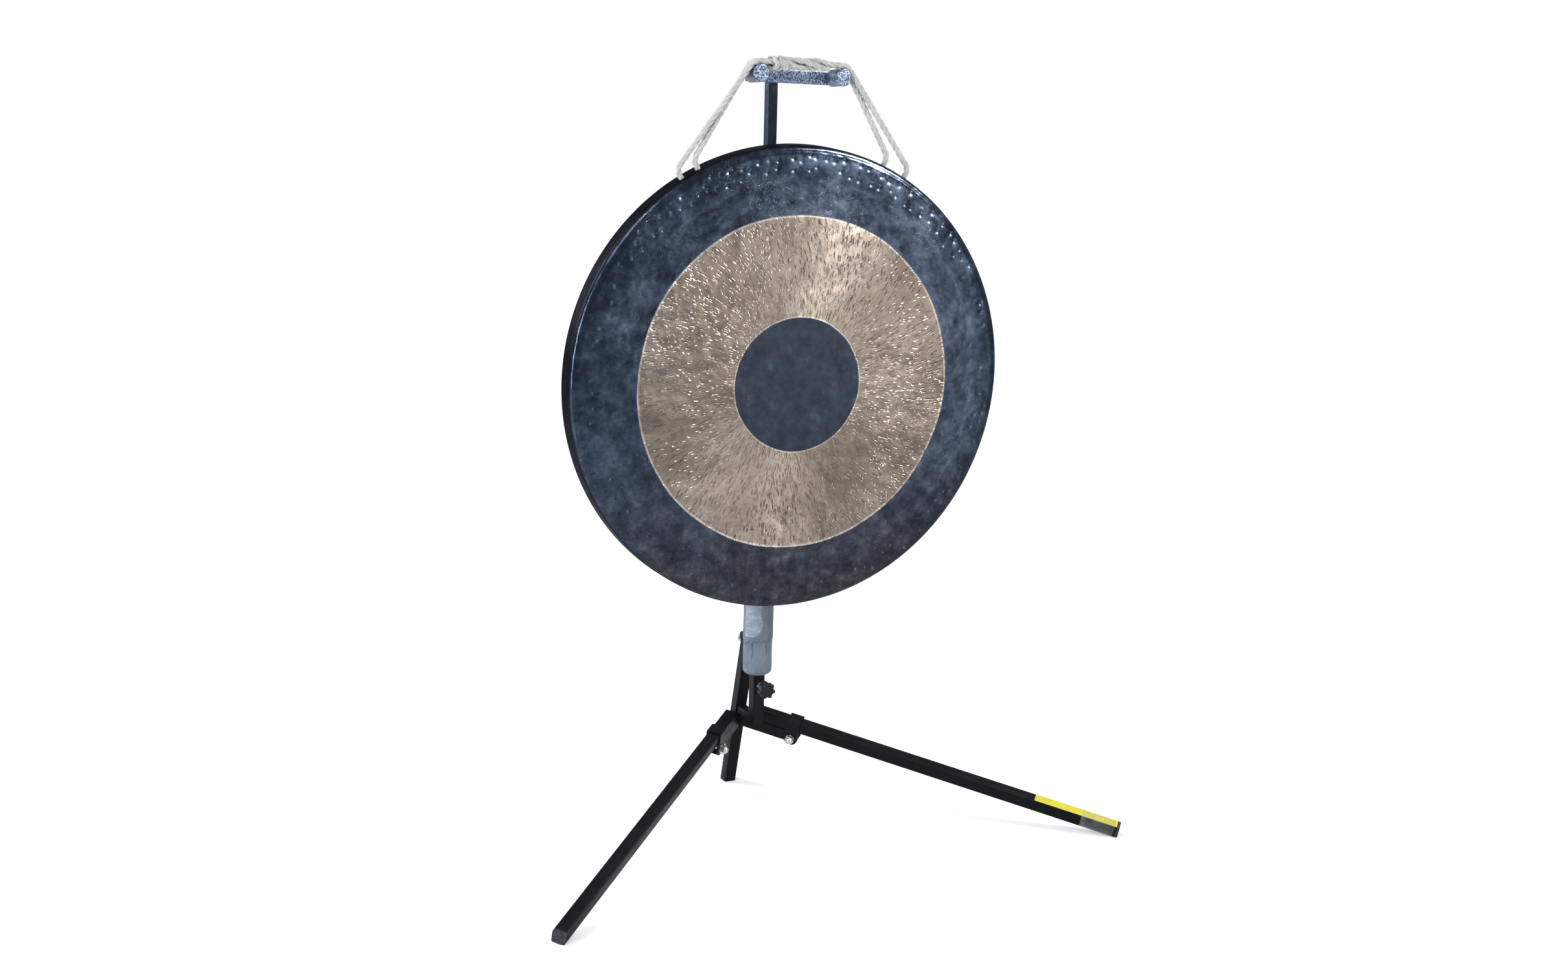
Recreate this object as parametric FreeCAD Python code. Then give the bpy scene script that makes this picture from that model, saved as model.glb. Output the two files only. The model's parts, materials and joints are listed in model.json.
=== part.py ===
import FreeCAD, Part
import math
import os

# Tam tam gong hung from a folding tripod stand, millimetres, +Z up, gong face towards -Y.
# Everything is placed from the middle plane (x = 0) and the floor (z = 0), then moved so that
# the origin is the centre of the footprint of the bounding box.

V = FreeCAD.Vector

# ---------------------------------------------------------------- driving dimensions
TUBE = 25.0                  # square tube of legs, arms, post, socket and crossbar
WALL = 2.0
CORNER = 2.5                 # outside corner radius of the square tubes
MAST = 20.0                  # square tube of the upper mast and the top arm
GAP = 0.3                    # clearance between pieces that move on each other

V_HALF_ANGLE = 46.0          # each front leg from the middle plane, measured in the leg plane
V_TILT = 17.1                # the leg plane falls towards the front
POST_LEAN = 14.5             # the rear post leans forward at its top
POST_Y = 90.0                # where the leg axes and the post axis cross
MAST_Y = 6.0                 # mast axis
LEG_END = 820.0              # leg end, from that crossing
LEG_START = 45.0
PLUG_CAP = 6.0
FOOT_TRIM = 2.0              # depth of the flat ground on each foot
PIVOT_U = 126.0              # leg pivot, along the leg
PIVOT_DROP = 28.0            # leg pivot, below the leg axis
CLEVIS_START = 113.0
CLEVIS_END = 141.0
PLATE = 3.0                  # clevis and bracket plate
BOLT_R = 5.0                 # leg pivot bolt
FIT = 0.05                   # radial play of a bolt in a turning hole
HINGE_UP = 168.0             # mast hinge, along the post from the crossing
HINGE_R = 4.0

SOCKET_BOTTOM = 170.0
SOCKET_TOP = 380.0
FLOOR_PLATE = 4.0
MAST_TOP = 1479.0
KNOB_Z = 252.7
KNOB_R = 17.5
KNOB_LOBES = 7
STUD_R = 4.0
FOAM_R = 31.0
FOAM_BOTTOM = 278.0
FOAM_TOP = 1190.0
FOAM_BORE_LOW = 18.0         # clears the corners of the socket tube
FOAM_BORE = 13.2             # holds the corners of the mast tube
FOAM_SLIT = 4.0

BAR_FRONT = -83.0
BAR_Z = 1466.5
BAR_HALF = 84.0
PEG_X = 86.0
PEG_R = 16.0
PEG_TIP = -127.0
PEG_DISC = 3.0

GONG_R = 450.0
GONG_SHEET = 2.0
GONG_X = 8.0
GONG_Z = 889.0
GONG_Y = -124.5
GONG_TILT = 2.5              # the face looks down a little
GONG_PAN = 3.1               # and a little to the left
RING_R = 324.0
RIM_DEPTH = 60.0
HOLE_R = 6.6
HOLE_DEPTH = 34.0            # rope holes, behind the middle of the face
NEAR_HOLE = {-1: 27.2, 1: 22.7}     # degrees from the top, left and right
FAR_HOLE = {-1: 31.8, 1: 29.1}

ROPE_R = 5.5
ROPE_Y = -112.5              # middle of the two strands on a peg
SWING_Z = 1466.5            # the gong swings about the pegs
PEG_GAP = 0.3                # between rope and peg
PEG_ROOM = 0.15              # where a hanging rope is pressed flat against its peg in the swing
SWING = 30                   # degrees that the gong swings forward
STRAND = 5.95                # each strand to the side of the middle

parts = {}


# ---------------------------------------------------------------- helpers
def box(x0, x1, y0, y1, z0, z1):
    return Part.makeBox(x1 - x0, y1 - y0, z1 - z0, V(x0, y0, z0))


def cylinder(radius, start, end):
    way = end - start
    return Part.makeCylinder(radius, way.Length, start, way)


def frame(origin, x_axis, y_axis, z_axis):
    m = FreeCAD.Matrix()
    m.A11, m.A21, m.A31 = x_axis.x, x_axis.y, x_axis.z
    m.A12, m.A22, m.A32 = y_axis.x, y_axis.y, y_axis.z
    m.A13, m.A23, m.A33 = z_axis.x, z_axis.y, z_axis.z
    m.A14, m.A24, m.A34 = origin.x, origin.y, origin.z
    return FreeCAD.Placement(m)


def placed(shape, placement):
    moved = shape.copy()
    moved.Placement = placement.multiply(moved.Placement)
    return moved


def mirrored(shape):
    return shape.mirror(V(0, 0, 0), V(1, 0, 0))


def square_bar(size, start, end, along, corner=CORNER):
    """Solid square bar centred on the chosen axis, with rounded long edges."""
    half = size / 2
    spans = {"x": (start, end, -half, half, -half, half),
             "y": (-half, half, start, end, -half, half),
             "z": (-half, half, -half, half, start, end)}
    bar = box(*spans[along])
    axis = {"x": V(1, 0, 0), "y": V(0, 1, 0), "z": V(0, 0, 1)}[along]
    edges = [e for e in bar.Edges if abs(e.tangentAt(e.FirstParameter).dot(axis)) > 0.99]
    return bar.makeFillet(corner, edges)


def square_tube(size, start, end, along):
    inner = square_bar(size - 2 * WALL, start - 1, end + 1, along, CORNER - WALL + 0.3)
    return square_bar(size, start, end, along).cut(inner)


def rounded_path(points, bends):
    """Straight runs joined by tangent arcs, one bend radius for each inner point."""
    edges = []
    last = points[0]
    for before, here, after, radius in zip(points, points[1:], points[2:], bends):
        into = (here - before).normalize()
        out = (after - here).normalize()
        turn = into.getAngle(out)
        trim = radius * math.tan(turn / 2)
        first = here - into * trim
        second = here + out * trim
        middle_way = (out - into).normalize()
        centre = here + middle_way * (radius / math.cos(turn / 2))
        middle = centre - middle_way * radius
        edges.append(Part.LineSegment(last, first).toShape())
        edges.append(Part.Arc(first, middle, second).toShape())
        last = second
    edges.append(Part.LineSegment(last, points[-1]).toShape())
    return Part.Wire(edges)


def rope_tube(points, bends):
    path = rounded_path(points, bends)
    way = points[1] - points[0]
    section = Part.Wire([Part.makeCircle(ROPE_R, points[0], way)])
    tube = path.makePipeShell([section], True, False)
    expected = math.pi * ROPE_R ** 2 * path.Length
    print("rope run %.0f mm, volume ratio %.3f" % (path.Length, tube.Volume / expected))
    return tube


def hex_nut(across, height, bore):
    corner = across / math.sqrt(3)
    ring = [V(corner * math.cos(math.radians(60 * i)), corner * math.sin(math.radians(60 * i)), 0)
            for i in range(7)]
    body = Part.Face(Part.makePolygon(ring)).extrude(V(0, 0, height))
    cone = Part.makeCone(corner + height * 1.2, corner * 0.86, height * 1.35)
    body = body.common(cone)
    return body.cut(Part.makeCylinder(bore, height + 2, V(0, 0, -1)))


def dome_nut(across, height, bore):
    """Hexagon with a domed closed end; z = 0 is the face that bears on the washer."""
    body = hex_nut(across, height * 0.5, 0.5)
    radius = across * 0.46
    dome = Part.makeSphere(radius, V(0, 0, height - radius))
    dome = dome.common(Part.makeCylinder(radius, height, V(0, 0, height * 0.35)))
    plug = Part.makeCylinder(1.0, height * 0.5)
    hole = Part.makeCylinder(bore, height * 0.62, V(0, 0, -1))
    return body.fuse(dome).fuse(plug).removeSplitter().cut(hole)


# ---------------------------------------------------------------- leg plane
tilt = math.radians(V_TILT)
half_angle = math.radians(V_HALF_ANGLE)
leg_drop = LEG_END * math.cos(half_angle) * math.sin(tilt)
side_drop = TUBE / 2 * math.sin(half_angle) * math.sin(tilt)
crossing_z = leg_drop + TUBE / 2 * math.cos(tilt) + side_drop - FOOT_TRIM
crossing = V(0, POST_Y, crossing_z)
plane_up = V(0, -math.sin(tilt), math.cos(tilt))
leg_way = V(math.sin(half_angle), -math.cos(half_angle) * math.cos(tilt),
            -math.cos(half_angle) * math.sin(tilt))
leg_side = plane_up.cross(leg_way)
right_frame = frame(crossing, leg_way, leg_side, plane_up)
pivot = right_frame.multVec(V(PIVOT_U, 0, -PIVOT_DROP))

lean = math.radians(POST_LEAN)
post_way = V(0, -math.sin(lean), math.cos(lean))
post_back = V(0, math.cos(lean), math.sin(lean))
post_frame = frame(crossing, V(1, 0, 0), post_back, post_way)
hinge = post_frame.multVec(V(0, 0, HINGE_UP))
foot_down = crossing_z / math.cos(lean) + 10
floor_cut = box(-900, 900, -900, 900, -60, 0)
post_envelope = placed(square_bar(TUBE, -foot_down, HINGE_UP + 20, "z"), post_frame)


# ---------------------------------------------------------------- base: post and arms
def rear_post():
    tube = square_tube(TUBE, -foot_down + 14, HINGE_UP, "z")
    top = box(-TUBE / 2, TUBE / 2, -TUBE / 2, TUBE / 2, HINGE_UP, HINGE_UP + TUBE)
    round_end = cylinder(TUBE / 2, V(-TUBE, 0, HINGE_UP), V(TUBE, 0, HINGE_UP)).common(top)
    hollow = cylinder(TUBE / 2 - WALL, V(-TUBE / 2 + WALL, 0, HINGE_UP), V(TUBE / 2 - WALL, 0, HINGE_UP))
    tube = tube.fuse(round_end.cut(hollow))
    bolt_hole = cylinder(HINGE_R + FIT, V(-TUBE, 0, HINGE_UP), V(TUBE, 0, HINGE_UP))
    return placed(tube.cut(bolt_hole), post_frame).cut(floor_cut)


def rear_post_foot():
    half = TUBE / 2
    cap = box(-half, half, -half, half, -foot_down - 6, -foot_down + 14)
    edges = [e for e in cap.Edges if abs(e.tangentAt(e.FirstParameter).z) > 0.99]
    cap = cap.makeFillet(CORNER, edges)
    stub = square_bar(TUBE - 2 * WALL - 0.2, -foot_down + 14, -foot_down + 34, "z", 0.7)
    return placed(cap.fuse(stub), post_frame).cut(floor_cut)


def right_arm():
    low = -PIVOT_DROP + 2.7 - TUBE / 2
    high = low + TUBE
    body = box(0, PIVOT_U, -TUBE / 2, TUBE / 2, low, high)
    reach = high + PIVOT_DROP
    tip = cylinder(reach, V(PIVOT_U, -TUBE / 2, -PIVOT_DROP), V(PIVOT_U, TUBE / 2, -PIVOT_DROP))
    tip = tip.common(box(PIVOT_U, PIVOT_U + reach, -TUBE / 2, TUBE / 2, low, high))
    hole = cylinder(BOLT_R + FIT, V(PIVOT_U, -TUBE, -PIVOT_DROP), V(PIVOT_U, TUBE, -PIVOT_DROP))
    hollow = box(30, PIVOT_U + 40, -TUBE / 2 + WALL, TUBE / 2 - WALL, low + WALL, high - WALL)
    arm = placed(body.fuse(tip).removeSplitter().cut(hollow).cut(hole), right_frame)
    arm = arm.common(box(0, 300, -300, 300, -50, 400))
    return arm.cut(post_envelope)


# ---------------------------------------------------------------- legs
def right_leg_tube():
    tube = square_tube(TUBE, LEG_START, LEG_END - PLUG_CAP, "x")
    return placed(tube, right_frame)


def right_leg_plug():
    half = TUBE / 2
    cap = box(LEG_END - PLUG_CAP, LEG_END, -half, half, -half, half)
    edges = [e for e in cap.Edges if abs(e.tangentAt(e.FirstParameter).x) > 0.99]
    cap = cap.makeFillet(CORNER, edges)
    stub = square_bar(TUBE - 2 * WALL - 0.2, LEG_END - PLUG_CAP - 20, LEG_END - PLUG_CAP, "x", 0.7)
    return placed(cap.fuse(stub), right_frame).cut(floor_cut)


def right_leg_clevis():
    inner_high = TUBE / 2
    inner_low = TUBE / 2 + GAP + 0.1
    outer = inner_low + PLATE
    top = inner_high + PLATE
    seam = -TUBE / 2 - 0.2
    shell = box(CLEVIS_START, CLEVIS_END, -outer, outer, seam, top)
    shell = shell.cut(box(0, 200, -inner_high, inner_high, seam - 1, inner_high))
    edges = [e for e in shell.Edges if abs(e.tangentAt(e.FirstParameter).x) > 0.99
             and abs(abs(e.CenterOfMass.y) - outer) < 0.01 and e.CenterOfMass.z > inner_high]
    shell = shell.makeFillet(2.4, edges)
    ear_reach = CLEVIS_END - PIVOT_U
    for side in (-1, 1):
        near = side * inner_low
        far = side * outer
        lo, hi = min(near, far), max(near, far)
        plate = box(CLEVIS_START, CLEVIS_END, lo, hi, -PIVOT_DROP, seam)
        ear = cylinder(ear_reach, V(PIVOT_U, lo, -PIVOT_DROP), V(PIVOT_U, hi, -PIVOT_DROP))
        ear = ear.common(box(CLEVIS_START, CLEVIS_END, lo, hi, -PIVOT_DROP - ear_reach, -PIVOT_DROP))
        shell = shell.fuse(plate).fuse(ear)
    hole = cylinder(BOLT_R + FIT, V(PIVOT_U, -TUBE, -PIVOT_DROP), V(PIVOT_U, TUBE, -PIVOT_DROP))
    return placed(shell.removeSplitter().cut(hole), right_frame)


def right_pivot_bolt():
    """Hexagon head on the outer side, thread end inside the dome nut on the inner side."""
    outer = TUBE / 2 + GAP + 0.1 + PLATE
    start = V(PIVOT_U, -outer - 8, -PIVOT_DROP)
    end = V(PIVOT_U, outer + 2.2, -PIVOT_DROP)
    shank = cylinder(BOLT_R, start, end)
    head = hex_nut(17.0, 6.4, 0.01)
    to_head = frame(V(PIVOT_U, outer + 1.9, -PIVOT_DROP), V(1, 0, 0), V(0, 0, -1), V(0, 1, 0))
    head = placed(head, to_head).fuse(cylinder(1.0, end, end + V(0, 5, 0)))
    return placed(shank.fuse(head).removeSplitter(), right_frame)


def right_pivot_nut():
    outer = TUBE / 2 + GAP + 0.1 + PLATE
    to_nut = frame(V(PIVOT_U, -outer - 1.9, -PIVOT_DROP), V(1, 0, 0), V(0, 0, 1), V(0, -1, 0))
    return placed(placed(dome_nut(17.0, 14.0, BOLT_R + 0.01), to_nut), right_frame)


def right_pivot_washers():
    outer = TUBE / 2 + GAP + 0.1 + PLATE
    rings = []
    for near in (outer + GAP, -outer - 1.85):
        ring = Part.makeCylinder(9.5, 1.55, V(PIVOT_U, near, -PIVOT_DROP), V(0, 1, 0))
        bore = Part.makeCylinder(BOLT_R + 0.1, 4, V(PIVOT_U, near - 1, -PIVOT_DROP), V(0, 1, 0))
        rings.append(placed(ring.cut(bore), right_frame))
    return rings


def yellow_tape():
    top = TUBE / 2
    strip = box(644, LEG_END - PLUG_CAP, -top + 1.6, top - 1.6, top, top + 0.35)
    return placed(strip, right_frame)


def clear_tape():
    half = TUBE / 2
    start, end = 742.0, LEG_END - PLUG_CAP - 4
    outside = square_bar(TUBE + 0.7, start, end, "x", CORNER + 0.35)
    outside = outside.fuse(box(start, end, -half + 1.2, half - 1.2, 0, half + 0.75))
    inside = square_bar(TUBE, start - 1, end + 1, "x")
    inside = inside.fuse(box(start - 1, end + 1, -half + 1.55, half - 1.55, 0, half + 0.4))
    return placed(outside.cut(inside), right_frame)


# ---------------------------------------------------------------- mast socket and clamp
def socket_tube():
    tube = square_tube(TUBE, SOCKET_BOTTOM, SOCKET_TOP, "z")
    return tube.cut(cylinder(STUD_R + FIT, V(0, -TUBE, KNOB_Z), V(0, 0, KNOB_Z)))


def socket_floor():
    half = TUBE / 2 - WALL
    return square_bar(2 * half - 0.1, SOCKET_BOTTOM, SOCKET_BOTTOM + FLOOR_PLATE, "z", 0.8)


def mast_hinge_bracket():
    near = TUBE / 2 + GAP + 0.1
    far = near + PLATE
    ear = 13.0
    plates = []
    for side in (-1, 1):
        lo, hi = sorted((side * near, side * far))
        plate = box(lo, hi, MAST_Y - 5.5, hinge.y, hinge.z - ear, hinge.z + ear)
        plate = plate.fuse(cylinder(ear, V(lo, hinge.y, hinge.z), V(hi, hinge.y, hinge.z)))
        lo, hi = sorted((side * TUBE / 2, side * near))
        plate = plate.fuse(box(lo, hi, MAST_Y - 5.5, MAST_Y + TUBE / 2 - CORNER, hinge.z - ear, hinge.z + ear))
        hole = cylinder(HINGE_R + FIT, V(-TUBE, hinge.y, hinge.z), V(TUBE, hinge.y, hinge.z))
        plates.append(plate.removeSplitter().cut(hole))
    return plates


def heel_block():
    block = box(-9, 9, MAST_Y + TUBE / 2, POST_Y, SOCKET_BOTTOM, SOCKET_BOTTOM + 16)
    half = TUBE / 2 + GAP
    keep_off = box(-TUBE, TUBE, -half, 200, -80, 80)
    return block.cut(placed(keep_off, post_frame))


def mast_hinge_bolt():
    reach = TUBE / 2 + GAP + 0.1 + PLATE
    shank = cylinder(HINGE_R, V(-reach - 9, hinge.y, hinge.z), V(reach + GAP, hinge.y, hinge.z))
    head = hex_nut(13.0, 5.3, 0.01)
    to_head = frame(V(reach + GAP, hinge.y, hinge.z), V(0, 1, 0), V(0, 0, 1), V(1, 0, 0))
    core = cylinder(1.0, V(reach, hinge.y, hinge.z), V(reach + 5, hinge.y, hinge.z))
    return shank.fuse(placed(head, to_head)).fuse(core).removeSplitter()


def mast_hinge_nut():
    reach = TUBE / 2 + GAP + 0.1 + PLATE
    to_nut = frame(V(-reach - GAP, hinge.y, hinge.z), V(0, 1, 0), V(0, 0, -1), V(-1, 0, 0))
    return placed(hex_nut(13.0, 6.5, HINGE_R + 0.01), to_nut)


def clamp_nut():
    to_nut = frame(V(0, -TUBE / 2, KNOB_Z), V(1, 0, 0), V(0, 0, 1), V(0, -1, 0))
    return placed(hex_nut(13.0, 6.5, STUD_R + FIT), to_nut)


def clamp_stud():
    return cylinder(STUD_R, V(0, -MAST / 2 - GAP, KNOB_Z), V(0, -40, KNOB_Z))


def clamp_knob():
    """Star knob: a disc with rounded lobes and a short hub towards the mast."""
    front, back, hub = -52.0, -37.0, -29.0
    body = cylinder(KNOB_R - 2.5, V(0, back, KNOB_Z), V(0, front, KNOB_Z))
    lobe_r = 4.6
    for i in range(KNOB_LOBES):
        angle = 2 * math.pi * i / KNOB_LOBES
        x = (KNOB_R - lobe_r) * math.sin(angle)
        z = KNOB_Z + (KNOB_R - lobe_r) * math.cos(angle)
        body = body.fuse(cylinder(lobe_r, V(x, back, z), V(x, front, z)))
    for i in range(KNOB_LOBES):
        angle = 2 * math.pi * (i + 0.5) / KNOB_LOBES
        x = (KNOB_R + 0.6) * math.sin(angle)
        z = KNOB_Z + (KNOB_R + 0.6) * math.cos(angle)
        body = body.cut(cylinder(4.2, V(x, back + 1, z), V(x, front - 1, z)))
    body = body.fuse(cylinder(8.5, V(0, hub, KNOB_Z), V(0, back, KNOB_Z))).removeSplitter()
    rim = [e for e in body.Edges if abs(e.CenterOfMass.y - front) < 0.01]
    body = body.makeFillet(1.6, rim)
    return body.cut(cylinder(STUD_R + 0.01, V(0, hub + 1, KNOB_Z), V(0, -40, KNOB_Z)))


# ---------------------------------------------------------------- mast, arm, crossbar, pegs
def upper_tube():
    return square_tube(MAST, SOCKET_BOTTOM + FLOOR_PLATE + GAP, MAST_TOP, "z")


def mast_top_cap():
    half = MAST / 2
    cap = square_bar(MAST, MAST_TOP, MAST_TOP + 2.5, "z")
    stub = square_bar(2 * (half - WALL) - 0.2, MAST_TOP - 15, MAST_TOP, "z", 0.7)
    return cap.fuse(stub)


def top_arm():
    arm = square_tube(MAST, BAR_FRONT + TUBE, MAST_Y - MAST / 2, "y")
    arm.translate(V(0, 0, BAR_Z))
    return arm


def crossbar():
    bar = square_tube(TUBE, -BAR_HALF, BAR_HALF, "x")
    bar.translate(V(0, BAR_FRONT + TUBE / 2, BAR_Z))
    return bar


def crossbar_caps():
    caps = []
    for side in (-1, 1):
        ends = sorted((side * BAR_HALF, side * (BAR_HALF + 2.5)))
        cap = square_bar(TUBE, ends[0], ends[1], "x")
        inside = sorted((side * (BAR_HALF - 15), side * BAR_HALF))
        cap = cap.fuse(square_bar(TUBE - 2 * WALL - 0.2, inside[0], inside[1], "x", 0.7))
        cap.translate(V(0, BAR_FRONT + TUBE / 2, BAR_Z))
        caps.append(cap)
    return caps


def peg(side):
    x = side * PEG_X
    tube = cylinder(PEG_R, V(x, BAR_FRONT, BAR_Z), V(x, PEG_TIP + PEG_DISC, BAR_Z))
    bore = cylinder(PEG_R - WALL, V(x, BAR_FRONT + 1, BAR_Z), V(x, PEG_TIP, BAR_Z))
    return tube.cut(bore)


def peg_disc(side):
    x = side * PEG_X
    disc = cylinder(PEG_R, V(x, PEG_TIP + PEG_DISC, BAR_Z), V(x, PEG_TIP, BAR_Z))
    rim = [e for e in disc.Edges if abs(e.CenterOfMass.y - PEG_TIP) < 0.01]
    return disc.makeFillet(1.2, rim)


# ---------------------------------------------------------------- foam
def foam_sleeve():
    sleeve = Part.makeCylinder(FOAM_R, FOAM_TOP - FOAM_BOTTOM, V(0, 0, FOAM_BOTTOM))
    ends = [e for e in sleeve.Edges if abs(e.Length - 2 * math.pi * FOAM_R) < 0.1]
    sleeve = sleeve.makeFillet(6.0, ends)
    step = SOCKET_TOP + 3
    sleeve = sleeve.cut(Part.makeCylinder(FOAM_BORE_LOW, step - FOAM_BOTTOM + 1, V(0, 0, FOAM_BOTTOM - 1)))
    sleeve = sleeve.cut(Part.makeCylinder(FOAM_BORE, FOAM_TOP, V(0, 0, FOAM_BOTTOM)))
    sleeve = sleeve.cut(box(-FOAM_SLIT, FOAM_SLIT, 0, FOAM_R + 1, FOAM_BOTTOM - 1, FOAM_TOP + 1))
    window = TUBE / 2 + PLATE + 2.2
    return sleeve.cut(box(-window, window, 0, FOAM_R + 1, FOAM_BOTTOM - 1, step))


def foam_patch():
    """Thin tape patch on the lower left front of the foam."""
    low, high = 362.0, 428.0
    skin = Part.makeCylinder(FOAM_R + 0.5, high - low, V(0, 0, low))
    skin = skin.cut(Part.makeCylinder(FOAM_R, high - low + 2, V(0, 0, low - 1)))
    wedge = box(-FOAM_R - 1, -4, -FOAM_R - 1, 2, low, high)
    return skin.common(wedge)


# ---------------------------------------------------------------- gong
def gong_disc():
    """Dished sheet: a nearly flat face that falls back to a turned rim."""
    outer = [V(0, 0, 0), V(RING_R, 4, 0), V(440, 15, 0), V(GONG_R, 27, 0), V(GONG_R + 2, RIM_DEPTH, 0)]
    t = GONG_SHEET
    inner = [V(0, t, 0), V(RING_R, 4 + t, 0), V(439, 15 + t, 0), V(GONG_R - t, 27.5, 0),
             V(GONG_R + 2 - t, RIM_DEPTH, 0)]
    middles = [V(170, 0.9, 0), V(385, 8.2, 0), V(447.2, 19.2, 0)]
    inner_middles = [V(170, 0.9 + t, 0), V(385, 8.2 + t, 0), V(445.4, 20.6, 0)]
    edges = []
    for points, mids in ((outer, middles), (inner, inner_middles)):
        for i, mid in enumerate(mids):
            edges.append(Part.Arc(points[i], mid, points[i + 1]).toShape())
        edges.append(Part.LineSegment(points[3], points[4]).toShape())
    edges.append(Part.LineSegment(outer[4], inner[4]).toShape())
    edges.append(Part.LineSegment(outer[0], inner[0]).toShape())
    profile = Part.Face(Part.Wire(Part.__sortEdges__(edges)))
    disc = profile.revolve(V(0, 0, 0), V(0, 1, 0), 360)
    for side in (-1, 1):
        for angle in (NEAR_HOLE[side], FAR_HOLE[side]):
            way = V(side * math.sin(math.radians(angle)), 0, math.cos(math.radians(angle)))
            start = way * (GONG_R - 20) + V(0, HOLE_DEPTH, 0)
            disc = disc.cut(cylinder(HOLE_R, start, start + way * 40))
    return disc


def hang(shape):
    """Tilt and pan the gong about its own middle and put it in its place."""
    moved = shape.copy()
    moved.rotate(V(0, 0, 0), V(1, 0, 0), GONG_TILT)
    moved.rotate(V(0, 0, 0), V(0, 0, 1), -GONG_PAN)
    moved.translate(V(GONG_X, GONG_Y, GONG_Z))
    return moved


def rim_point(side, angle, radius):
    """A point on a rope hole's axis, after the tilt and pan."""
    a = math.radians(angle)
    local = V(side * radius * math.sin(a), HOLE_DEPTH, radius * math.cos(a))
    tilted = FreeCAD.Rotation(V(1, 0, 0), GONG_TILT).multVec(local)
    panned = FreeCAD.Rotation(V(0, 0, 1), -GONG_PAN).multVec(tilted)
    return panned + V(GONG_X, GONG_Y, GONG_Z)


def leaving(side, y, rim):
    """Where a strand crosses the swing axis, and where its line meets the level of the strands on top."""
    reach = PEG_R + ROPE_R + PEG_GAP
    dx = side * rim.x - PEG_X
    dz = rim.z - BAR_Z
    tangent = math.atan2(dz, dx) + math.acos(reach / math.hypot(dx, dz))
    touch_x = PEG_X + reach * math.cos(tangent)
    touch_z = BAR_Z + reach * math.sin(tangent)
    slope = (side * rim.x - touch_x) / (rim.z - touch_z)
    at_axis = V(side * (touch_x + slope * (SWING_Z - touch_z)), y, SWING_Z)
    level = BAR_Z + reach
    corner = V(side * (touch_x + slope * (level - touch_z)), y, level)
    return at_axis, corner


def knuckle(radius):
    """Room about the swing axis in which the hanging strands turn under the fixed ones."""
    return cylinder(radius, V(-400, ROPE_Y, SWING_Z), V(400, ROPE_Y, SWING_Z))


def hanging_rope(side):
    """From the peg down through one rim hole, along inside the rim, and back up through the other."""
    near = NEAR_HOLE[side]
    far = FAR_HOLE[side]
    inner_top = rim_point(side, near, GONG_R + 22)
    outer_top = rim_point(side, far, GONG_R + 22)
    inner_start, inner_corner = leaving(side, ROPE_Y + STRAND, inner_top)
    outer_start, outer_corner = leaving(side, ROPE_Y - STRAND, outer_top)
    points = [inner_start + (inner_corner - inner_start) * 0.6,
              inner_top,
              rim_point(side, near, GONG_R - 16),
              rim_point(side, far, GONG_R - 16),
              outer_top,
              outer_start + (outer_corner - outer_start) * 0.6]
    rope = rope_tube(points, [16.0, 9.0, 9.0, 16.0])
    above = box(-400, 400, ROPE_Y - 40, ROPE_Y + 40, SWING_Z, SWING_Z + 60)
    return pressed_flat(rope.cut(above.cut(knuckle(STRAND + ROPE_R + 0.2))), side)


def pressed_flat(rope, side):
    """The rope gives way where the swing carries its top end against the peg."""
    room = cylinder(PEG_R + PEG_ROOM, V(side * PEG_X, ROPE_Y - 30, BAR_Z), V(side * PEG_X, ROPE_Y + 30, BAR_Z))
    for turn in range(3, SWING + 4, 3):
        turned = room.copy()
        turned.rotate(V(0, ROPE_Y, SWING_Z), V(1, 0, 0), turn)
        rope = rope.cut(turned)
    return rope


def peg_strand(place, holes):
    """One strand over both pegs, along the front of the crossbar."""
    y = ROPE_Y + place * STRAND
    ends = []
    for side in (-1, 1):
        at_axis, corner = leaving(side, y, rim_point(side, holes[side], GONG_R + 22))
        ends.append((at_axis + (at_axis - corner) * 0.2, corner))
    reach = PEG_R + ROPE_R + PEG_GAP
    strand = rope_tube([ends[0][0], ends[0][1], ends[1][1], ends[1][0]], [reach, reach])
    below = box(-400, 400, ROPE_Y - 40, ROPE_Y + 40, SWING_Z - 60, SWING_Z)
    return strand.cut(below).cut(knuckle(STRAND + ROPE_R + 0.9))


def wrap_ring(x):
    """One closed turn of rope round both strands."""
    level = BAR_Z + PEG_R + ROPE_R + PEG_GAP
    reach = 2 * ROPE_R + 0.2
    ring = []
    for way in (-1, 1):
        centre = V(x, ROPE_Y + way * STRAND, level)
        torus = Part.makeTorus(reach, ROPE_R, centre, V(1, 0, 0))
        half = box(x - 20, x + 20, *sorted((centre.y, centre.y + way * 40)), level - 40, level + 40)
        ring.append(torus.common(half))
        ring.append(cylinder(ROPE_R, V(x, ROPE_Y - STRAND, level + way * reach),
                             V(x, ROPE_Y + STRAND, level + way * reach)))
    return ring[0].multiFuse(ring[1:]).removeSplitter()


def rope_lashing():
    """The turns that bind the two strands, and the end that lies in the groove between them."""
    level = BAR_Z + PEG_R + ROPE_R + PEG_GAP
    rings = [wrap_ring(x) for x in (-50.0, -36.0, -24.8, -13.6, -2.4, 8.8)]
    height = level + math.sqrt((2 * ROPE_R + 0.2) ** 2 - STRAND ** 2)
    rings.append(cylinder(ROPE_R, V(15, ROPE_Y, height), V(64, ROPE_Y, height)))
    return rings


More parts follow.
